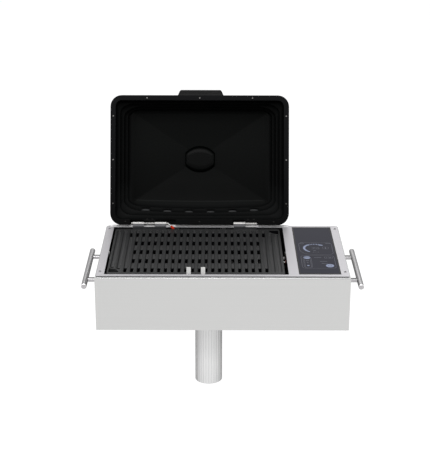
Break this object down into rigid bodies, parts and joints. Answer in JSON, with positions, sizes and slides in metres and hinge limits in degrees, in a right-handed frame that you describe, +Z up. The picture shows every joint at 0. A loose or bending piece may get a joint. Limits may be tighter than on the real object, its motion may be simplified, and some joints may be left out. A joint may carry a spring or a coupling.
{
  "type": "electric grill on a post",
  "caption": "Electric grill with a slotted cast grate, a hinged lid with a lined, ridged dome, a touch panel and side bars, in a folded steel housing held on a ribbed post.",
  "frame": {"origin": "centre of the post's lower end", "axes": "+Z up along the post, +Y towards the lid's hinges, +X towards the touch panel"},
  "size_m": [0.602, 0.4562, 0.6061],
  "materials": {
    "housing_steel": "fine brushed stainless steel",
    "deck_steel": "fine brushed stainless steel",
    "steel": "plain stainless steel",
    "zinc": "zinc-plated steel",
    "gasket": "black silicone",
    "well_steel": "heat-darkened enamel",
    "insulation": "pressed mineral fibre",
    "tray": "plain aluminium",
    "element": "dark oxidised steel",
    "ceramic": "glazed ceramic",
    "cutout": "brown moulded plastic",
    "probe": "polished steel",
    "grommet": "red silicone",
    "glass": "dark glass, printed behind",
    "board": "green circuit board",
    "relays": "moulded plastic",
    "brass": "plain brass",
    "post_metal": "satin, ribbed lengthwise",
    "socket_metal": "grey powder coat",
    "black_plastic": "moulded",
    "lid_black": "satin black enamel",
    "liner_black": "satin black enamel",
    "grate_iron": "enamelled cast iron",
    "grip_red": "moulded cap",
    "spring_steel": "spring steel"
  },
  "bodies": {
    "base": {"housing_shell": "housing_steel", "bottom_plate": "steel", "bottom_screws": "zinc", "deck_frame": "deck_steel", "deck_gasket": "gasket", "deck_screws": "steel", "deck_nuts": "zinc", "well_pan": "well_steel", "insulation_board": "insulation", "drip_tray": "tray", "heating_element": "element", "element_supports": "steel", "grate_brackets": "steel", "terminal_block": "ceramic", "thermal_cutout": "cutout", "temperature_probe": "probe", "probe_grommet": "grommet", "touch_glass": "glass", "glass_seal": "gasket", "control_tray": "zinc", "touch_board": "board", "power_board": "board", "board_relays": "relays", "board_standoffs": "brass", "hinge_base_left": "steel", "hinge_base_right": "steel", "hinge_screws": "steel", "hinge_nuts": "zinc", "hinge_pin_right": "steel", "side_handle_left": "steel", "side_handle_right": "steel", "side_handle_screws": "zinc", "post": "post_metal", "post_socket": "socket_metal", "socket_bolts": "zinc", "socket_nuts": "zinc", "socket_set_screws": "zinc", "cord_gland": "black_plastic", "gland_nut": "black_plastic"},
    "lid": {"lid_shell": "lid_black", "lid_liner": "liner_black", "rim_rivets": "steel", "lid_handle": "black_plastic", "lid_handle_screws": "steel", "hinge_lid_left": "steel", "hinge_lid_right": "steel", "hinge_rivets": "steel"},
    "grate": {"grate": "grate_iron"},
    "hinge_pin": {"pull_pin": "steel", "pull_pin_grip": "grip_red"},
    "catch_left": {"catch_left": "spring_steel"},
    "catch_right": {"catch_right": "spring_steel"}
  },
  "joints": [
    {"name": "lid_hinge", "type": "hinge", "parent": "base", "child": "lid", "pos_m": [-0.022, 0.1446, 0.3216], "axis": [-1, 0, 0], "range_deg": [-112, 0]},
    {"name": "pin_pull", "type": "slide", "parent": "base", "child": "hinge_pin", "axis": [1, 0, 0], "range_m": [0, 0.055]},
    {"name": "grate_lift", "type": "slide", "parent": "base", "child": "grate", "axis": [0, 0, 1], "range_m": [0, 0.12]},
    {"name": "catch_left_flex", "type": "hinge", "parent": "base", "child": "catch_left", "pos_m": [-0.041, -0.1342, 0.288], "axis": [-1, 0, 0], "range_deg": [0, 3], "stiffness_Nm_per_rad": 0.05},
    {"name": "catch_right_flex", "type": "hinge", "parent": "base", "child": "catch_right", "pos_m": [-0.011, -0.1342, 0.288], "axis": [-1, 0, 0], "range_deg": [0, 3], "stiffness_Nm_per_rad": 0.05}
  ]
}
